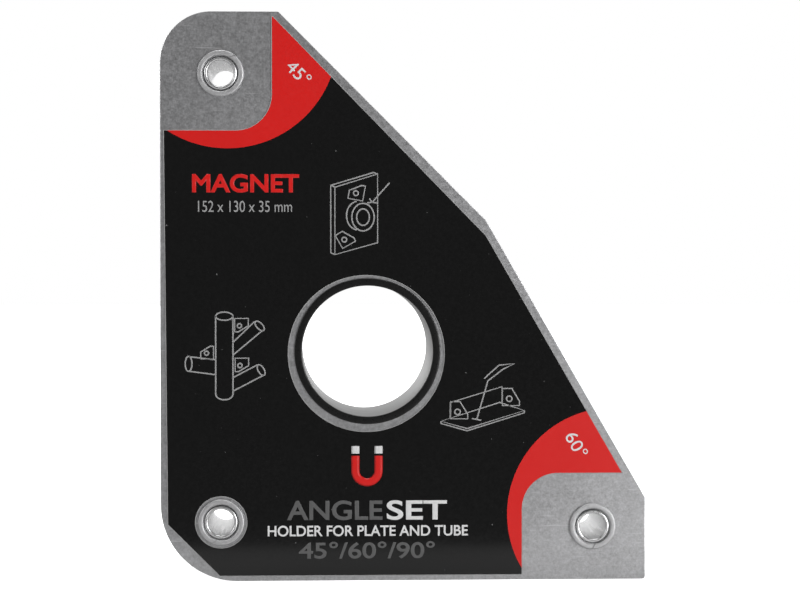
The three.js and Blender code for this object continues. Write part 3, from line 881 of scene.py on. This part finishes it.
def on_film(piece, side, right, up, turn):
    """Stands a flat drawing on a film, its middle at a place, turned in the film's plane."""
    facing = -1 if side == "front" else 1
    height = label_face[side] + facing * (WORD_INK / 2 - INK_SUNK)
    piece.location = (plate_low.x + right, height, up)
    turn = math.radians(turn if side == "front" else -turn)
    piece.rotation_euler = (math.pi / 2, -turn, 0 if side == "front" else math.pi)
    settle(piece)


printed = {}


def keep_print(piece, look, side):
    paint(piece, look)
    printed.setdefault((look.name, side), []).append(piece)


for side in label_face:
    for words, look, boldness, (right, up), shift, width, height, turn in WORDS:
        bpy.ops.object.text_add(location=(0, 0, 0))
        text = bpy.context.object
        text.data.body = words
        text.data.align_x = "CENTER"
        text.data.extrude = 0.5
        text.data.bevel_depth = boldness
        text.data.bevel_resolution = 0
        bpy.ops.object.convert(target="MESH")
        text = bpy.context.object
        bpy.ops.object.origin_set(type="ORIGIN_GEOMETRY", center="BOUNDS")
        text.location = (0, 0, 0)
        text.scale = (width / text.dimensions.x, height / text.dimensions.y, WORD_INK / text.dimensions.z)
        settle(text)
        on_film(text, side, right + shift if side == "front" else right - shift, up, turn)
        keep_print(text, look, side)


# Printed drawings: three line drawings of what the holder is used for, and a red horseshoe
# magnet above the name. Each is a few pen lines of screen ink, drawn in millimetres from its
# own middle. A line is closed or not, and then its points.
PEN = 0.0004
HORSESHOE_PEN = 0.0022
MILLIMETRE = 0.001
OVAL_STEPS = 24


def pen_lines(lines, width):
    """Flat lines of ink through the given points, which are in millimetres."""
    sheet = bpy.data.curves.new("lines", "CURVE")
    sheet.dimensions = "3D"
    sheet.bevel_depth = width / 2
    sheet.bevel_resolution = 1
    sheet.use_fill_caps = True
    for closed, points in lines:
        line = sheet.splines.new("POLY")
        line.points.add(len(points) - 1)
        for point, (right, up) in zip(line.points, points):
            point.co = (right * MILLIMETRE, up * MILLIMETRE, 0, 1)
        line.use_cyclic_u = closed
    drawing = bpy.data.objects.new("lines", sheet)
    bpy.context.scene.collection.objects.link(drawing)
    choose(drawing)
    bpy.ops.object.convert(target="MESH")
    drawing = bpy.context.object
    drawing.scale = (1, 1, WORD_INK / width)
    settle(drawing)
    return drawing


def oval(right, up, wide, high, lean=0, start=0, end=360):
    """Points of an oval or a part of one, leaning by an angle."""
    tilt = math.radians(lean)
    points = []
    for step in range(OVAL_STEPS + 1):
        angle = math.radians(start + (end - start) * step / OVAL_STEPS)
        x = wide * math.cos(angle)
        y = high * math.sin(angle)
        across = x * math.cos(tilt) - y * math.sin(tilt)
        upward = x * math.sin(tilt) + y * math.cos(tilt)
        points.append((right + across, up + upward))
    whole = end - start == 360
    return (whole, points[:-1] if whole else points)


def small_holder(right, up, size, lean):
    """A little angle holder with its hole, as the drawings show it, in shares of its size."""
    tilt = math.radians(lean)
    corners = ((-0.5, -0.45), (0.5, -0.45), (0.5, -0.2), (0.05, 0.55), (-0.5, 0.55))
    outline = [
        (right + size * (x * math.cos(tilt) - y * math.sin(tilt)),
         up + size * (x * math.sin(tilt) + y * math.cos(tilt)))
        for x, y in corners]
    return [(True, outline), oval(right - 0.1 * size, up - 0.05 * size, 0.16 * size, 0.16 * size)]


# A flange held on a standing plate by two holders, with a torch
flange_on_plate = [
    (True, [(-6.6, -10.6), (4.8, -7.4), (4.8, 10.9), (-6.6, 7.4)]),
    (False, [(-6.6, -10.6), (-7.7, -10.1), (-7.7, 7.9), (3.7, 11.3), (4.8, 10.9)]),
    (False, [(-7.7, 7.9), (-6.6, 7.4)]),
    oval(0.9, -0.6, 3.0, 3.7),
    oval(0.9, -0.6, 1.7, 2.2),
    oval(-0.5, -0.2, 3.0, 3.8, 0, 95, 265),
    (False, [(8.0, 8.6), (3.4, 3.4), (2.0, 3.2)]),
    (False, [(2.6, 4.4), (3.3, 3.4), (4.6, 3.2)]),
] + small_holder(-3.7, -6.4, 4.0, 30) + small_holder(-0.6, 6.0, 4.0, 80)

# Branches set on an upright tube at three places
branches_on_tube = [
    (False, [(-2.5, 11.0), (-2.5, -9.8)]),
    (False, [(2.1, 11.0), (2.1, -9.8)]),
    oval(-0.2, 11.0, 2.3, 1.1),
    oval(-0.2, -9.8, 2.3, 1.5, 0, 180, 360),
    (False, [(-2.5, -0.6), (-9.6, 0.2)]),
    (False, [(-2.5, -4.6), (-9.4, -3.7)]),
    oval(-9.7, -1.7, 0.9, 2.0),
    (False, [(2.1, 4.0), (7.9, 9.6)]),
    (False, [(2.1, 0.6), (10.1, 7.3)]),
    oval(9.2, 8.4, 1.6, 0.8, -46),
    (False, [(2.1, -5.4), (8.6, -2.0)]),
    (False, [(2.1, -9.0), (10.2, -4.8)]),
    oval(9.6, -3.4, 1.6, 0.8, -60),
] + small_holder(4.2, 8.6, 3.6, -90) + small_holder(4.3, -2.0, 3.6, -90) + small_holder(-4.6, 1.3, 3.4, 90)

# A wall held square on a base plate by two holders, with a torch
wall_on_base = [
    (True, [(-11.2, -6.6), (-4.2, -8.6), (11.2, -3.8), (4.6, -1.6)]),
    (False, [(-11.2, -6.6), (-11.2, -7.2), (-4.2, -9.2), (11.2, -4.4), (11.2, -3.8)]),
    (False, [(-8.7, -5.7), (-8.7, -1.6), (5.2, 2.6), (5.2, -1.7)]),
    (False, [(-1.6, -6.2), (1.4, 4.2), (5.6, 7.4)]),
    (False, [(0.4, 4.8), (4.4, 8.4), (8.6, 8.8), (5.6, 7.4)]),
    (False, [(-2.9, -5.9), (-0.4, -6.4)]),
] + small_holder(-6.3, -3.9, 4.6, 0) + small_holder(7.6, -0.4, 4.6, 0)

horseshoe_bow = oval(0, -1.4, 3.1, 3.1, 0, 180, 360)[1]
horseshoe = [(False, [(-3.1, 2.6), (-3.1, -1.4)] + horseshoe_bow + [(3.1, -1.4), (3.1, 2.6)])]
horseshoe_tips = [(False, [(-3.1, 3.2), (-3.1, 5.2)]), (False, [(3.1, 3.2), (3.1, 5.2)])]

# lines, ink, pen width, middle
DRAWINGS = (
    (flange_on_plate, silver_ink, PEN, 0.0531, 0.0979),
    (branches_on_tube, silver_ink, PEN, 0.0172, 0.0599),
    (wall_on_base, silver_ink, PEN, 0.08605, 0.0493),
    (horseshoe, red_ink, HORSESHOE_PEN, 0.05505, 0.0309),
    (horseshoe_tips, white_ink, HORSESHOE_PEN, 0.05505, 0.0309),
)
for side in label_face:
    for lines, look, width, right, up in DRAWINGS:
        drawing = pen_lines(lines, width)
        on_film(drawing, side, right, up, 0)
        keep_print(drawing, look, side)

for (ink_name, side), pieces in printed.items():
    choose(pieces[0])
    for piece in pieces:
        piece.select_set(True)
    bpy.ops.object.join()
    pieces[0].name = pieces[0].data.name = f"{ink_name.split('_')[0]}_print_{side}"
    place(pieces[0], "label_film")


# Studio: the holder stands on white paper that runs back to a white wall. Soft boxes stand to
# both sides and overhead, so that the film stays black and the steel gets a gentle slope.
TABLE_FRONT = 0.087
TABLE_BACK = 3.0
TABLE_HALF = 2.5

bpy.ops.mesh.primitive_plane_add(size=1, location=(0, (TABLE_BACK - TABLE_FRONT) / 2, 0))
table = bpy.context.object
table.name = "paper_table"
table.scale = (2 * TABLE_HALF, TABLE_BACK + TABLE_FRONT, 1)
settle(table)
paper = new_look("white_paper")
lit = node(
    paper, "ShaderNodeBsdfPrincipled",
    {"Base Color": colour("#f4f4f4"), "Roughness": 0.9,
     "Emission Color": colour("#ffffff"), "Emission Strength": 0.9})
shaded = node(
    paper, "ShaderNodeBsdfPrincipled",
    {"Base Color": colour("#808080"), "Roughness": 0.9,
     "Emission Color": colour("#ffffff"), "Emission Strength": 0.35})
seen = node(paper, "ShaderNodeLightPath", {})
both = node(
    paper, "ShaderNodeMixShader",
    {0: seen.outputs["Is Camera Ray"], 1: shaded.outputs[0], 2: lit.outputs[0]})
node(paper, "ShaderNodeOutputMaterial", {"Surface": both.outputs[0]})
paint(table, paper)

LIT_POINT = Vector((0, 0, 0.07))    # what the soft boxes face: the holder's middle

# name, place, size, power
BOXES = (
    ("left_softbox", (-1.0, -0.75, 0.45), 0.6, 4),
    ("right_softbox", (0.95, -0.8, 0.25), 0.6, 8),
    ("low_right_softbox", (0.75, -1.1, 0.0), 0.4, 4.2),
    ("top_softbox", (0.0, -0.1, 1.3), 0.8, 10),
    ("rear_left_softbox", (-1.0, 0.8, 0.45), 0.6, 7),
    ("rear_right_softbox", (1.0, 0.8, 0.45), 0.6, 7),
)
for box_name, spot_at, size, power in BOXES:
    aim = LIT_POINT - Vector(spot_at)
    turned_to = aim.to_track_quat("-Z", "Y").to_euler()
    bpy.ops.object.light_add(type="AREA", location=spot_at, rotation=turned_to)
    softbox = bpy.context.object
    softbox.name = box_name
    softbox.data.size = size
    softbox.data.energy = power

room = bpy.data.worlds.new("room")
room.use_nodes = True
bpy.context.scene.world = room
room.node_tree.nodes.clear()
toward = node(room, "ShaderNodeTexCoord", {}).outputs["Generated"]
depthwise = node(room, "ShaderNodeSeparateXYZ", {0: toward})
strength = node(
    room, "ShaderNodeMapRange",
    {"Value": depthwise.outputs["Y"], "From Min": -0.1, "From Max": 0.4, "To Min": 0.16, "To Max": 1.0})
below = node(
    room, "ShaderNodeMapRange",
    {"Value": depthwise.outputs["Z"], "From Min": -0.12, "From Max": -0.4, "To Min": 0, "To Max": 0.5})
total = node(room, "ShaderNodeMath", {0: strength.outputs[0], 1: below.outputs[0]}, operation="ADD")
dim = node(room, "ShaderNodeBackground", {"Color": colour("#ffffff"), "Strength": total.outputs[0]})
white = node(room, "ShaderNodeBackground", {"Color": colour("#ffffff"), "Strength": 1.0})
seen = node(room, "ShaderNodeLightPath", {})
both = node(
    room, "ShaderNodeMixShader",
    {0: seen.outputs["Is Camera Ray"], 1: dim.outputs[0], 2: white.outputs[0]})
node(room, "ShaderNodeOutputWorld", {"Surface": both.outputs[0]})
bpy.context.scene.view_settings.view_transform = "Standard"
